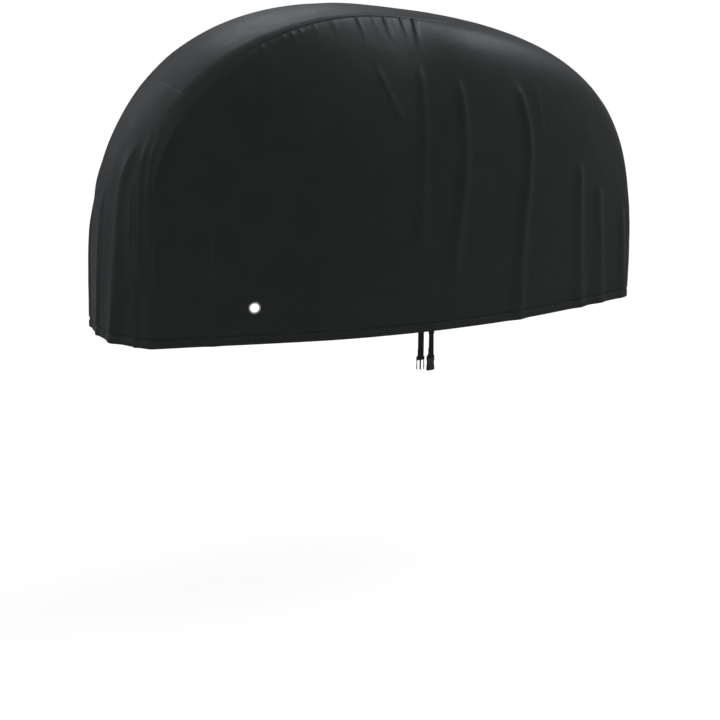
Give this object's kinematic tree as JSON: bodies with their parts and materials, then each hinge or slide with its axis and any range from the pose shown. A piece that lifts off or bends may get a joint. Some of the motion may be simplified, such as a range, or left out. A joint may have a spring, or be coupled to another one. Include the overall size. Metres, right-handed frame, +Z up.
{
  "type": "bicycle cover",
  "caption": "Fitted cover of black coated cloth for a bicycle, with side panels, a tapering gusset, lock eyelets and a buckled strap under its hem.",
  "frame": {"origin": "underside of the cover's top at mid length, where the bicycle carries it", "axes": "+X to the rear of the bicycle, +Y to its right side, +Z up"},
  "size_m": [2.046, 0.7954, 1.2154],
  "materials": {
    "coated_cloth": "satin coated woven polyester",
    "eyelet_metal": "bright nickel plate",
    "webbing": "woven polypropylene webbing",
    "buckle_plastic": "moulded acetal, satin"
  },
  "bodies": {
    "root": {"side_panel_left": "coated_cloth", "side_panel_right": "coated_cloth", "gusset_front": "coated_cloth", "gusset_top": "coated_cloth", "eyelet_left": "eyelet_metal", "eyelet_right": "eyelet_metal", "strap_plug": "webbing", "strap_socket": "webbing", "buckle_plug": "buckle_plastic", "buckle_socket": "buckle_plastic"}
  },
  "joints": []
}
